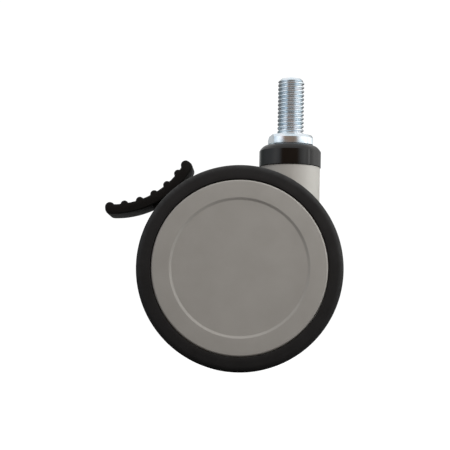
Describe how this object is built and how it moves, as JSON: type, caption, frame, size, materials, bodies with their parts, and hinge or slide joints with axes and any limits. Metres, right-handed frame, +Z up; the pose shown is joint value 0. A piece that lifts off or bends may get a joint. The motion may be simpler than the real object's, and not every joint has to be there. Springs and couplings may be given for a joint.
{
  "type": "twin-wheel swivel caster",
  "caption": "Twin-wheel swivel caster with a threaded stem, ball-bearing swivel and wheels, and a foot pedal that locks both wheels.",
  "frame": {"origin": "on the swivel axis, in the plane of the collar's seat face at the foot of the threaded stud", "axes": "+Z up along the stud, -X towards the trailing wheels and the brake pedal, Y along the wheel axle, right wheel on -Y"},
  "size_m": [0.0886, 0.0524, 0.1115],
  "materials": {
    "grey_plastic": "satin moulded polypropylene, warm grey",
    "tyre_black": "matt black thermoplastic rubber, smooth tread",
    "pedal_black": "satin black moulded nylon",
    "cap_black": "polished black plastic",
    "zinc_steel": "bright blue-white zinc plate on turned steel",
    "bearing_steel": "ground bearing steel",
    "spring_steel": "drawn spring wire",
    "nylon": "natural nylon"
  },
  "bodies": {
    "stem": {"stem": "zinc_steel", "stem_circlip": "bearing_steel", "thrust_shaft_washer": "bearing_steel", "neck_bearing_inner_race": "bearing_steel"},
    "thrust_set": {"thrust_balls": "bearing_steel", "thrust_cage": "nylon"},
    "neck_bearing_set": {"neck_bearing_balls": "bearing_steel", "neck_bearing_cage": "nylon"},
    "swivel": {"housing": "grey_plastic", "dust_cap": "cap_black", "thrust_housing_washer": "bearing_steel", "neck_bearing_outer_race": "bearing_steel", "neck_retaining_ring": "bearing_steel", "bearing_spacer": "bearing_steel", "axle": "zinc_steel", "axle_circlips": "bearing_steel", "axle_washers": "bearing_steel", "wheel_spacers": "bearing_steel", "right_bearing_inner_race": "bearing_steel", "left_bearing_inner_race": "bearing_steel", "pedal_pin": "zinc_steel", "brake_spring": "spring_steel"},
    "right_wheel": {"right_wheel_core": "grey_plastic", "right_tyre": "tyre_black", "right_wheel_cover": "grey_plastic", "right_bearing_outer_race": "bearing_steel", "right_bearing_shields": "bearing_steel"},
    "right_bearing_set": {"right_bearing_balls": "bearing_steel", "right_bearing_cage": "nylon"},
    "left_wheel": {"left_wheel_core": "grey_plastic", "left_tyre": "tyre_black", "left_wheel_cover": "grey_plastic", "left_bearing_outer_race": "bearing_steel", "left_bearing_shields": "bearing_steel"},
    "left_bearing_set": {"left_bearing_balls": "bearing_steel", "left_bearing_cage": "nylon"},
    "pedal": {"brake_pedal": "pedal_black"},
    "slider": {"brake_slider": "nylon"}
  },
  "joints": [
    {"name": "swivel_turn", "type": "hinge", "parent": "stem", "child": "swivel", "pos_m": [0, 0, 0], "axis": [0, 0, 1], "continuous": true},
    {"name": "thrust_set_turn", "type": "hinge", "parent": "stem", "child": "thrust_set", "pos_m": [0, 0, 0], "axis": [0, 0, 1], "continuous": true},
    {"name": "neck_set_turn", "type": "hinge", "parent": "stem", "child": "neck_bearing_set", "pos_m": [0, 0, 0], "axis": [0, 0, 1], "continuous": true},
    {"name": "right_wheel_spin", "type": "hinge", "parent": "swivel", "child": "right_wheel", "pos_m": [-0.018, 0, -0.052], "axis": [0, 1, 0], "continuous": true},
    {"name": "right_set_spin", "type": "hinge", "parent": "swivel", "child": "right_bearing_set", "pos_m": [-0.018, 0, -0.052], "axis": [0, 1, 0], "continuous": true},
    {"name": "left_wheel_spin", "type": "hinge", "parent": "swivel", "child": "left_wheel", "pos_m": [-0.018, 0, -0.052], "axis": [0, 1, 0], "continuous": true},
    {"name": "left_set_spin", "type": "hinge", "parent": "swivel", "child": "left_bearing_set", "pos_m": [-0.018, 0, -0.052], "axis": [0, 1, 0], "continuous": true},
    {"name": "pedal_press", "type": "hinge", "parent": "swivel", "child": "pedal", "pos_m": [-0.04164, 0, -0.03353], "axis": [0, -1, 0], "range_deg": [0, 22]},
    {"name": "slider_drop", "type": "slide", "parent": "swivel", "child": "slider", "axis": [0.788, 0, -0.6157], "range_m": [0, 0.0015], "deforming": ["brake_spring"]}
  ],
  "couplings": [
    {"joint": "thrust_set_turn", "follows": "swivel_turn", "ratio": 0.5},
    {"joint": "neck_set_turn", "follows": "swivel_turn", "ratio": 0.6111},
    {"joint": "right_set_spin", "follows": "right_wheel_spin", "ratio": 0.6323},
    {"joint": "left_set_spin", "follows": "left_wheel_spin", "ratio": 0.6323},
    {"joint": "slider_drop", "follows": "pedal_press", "m_per_rad": 0.0039}
  ]
}
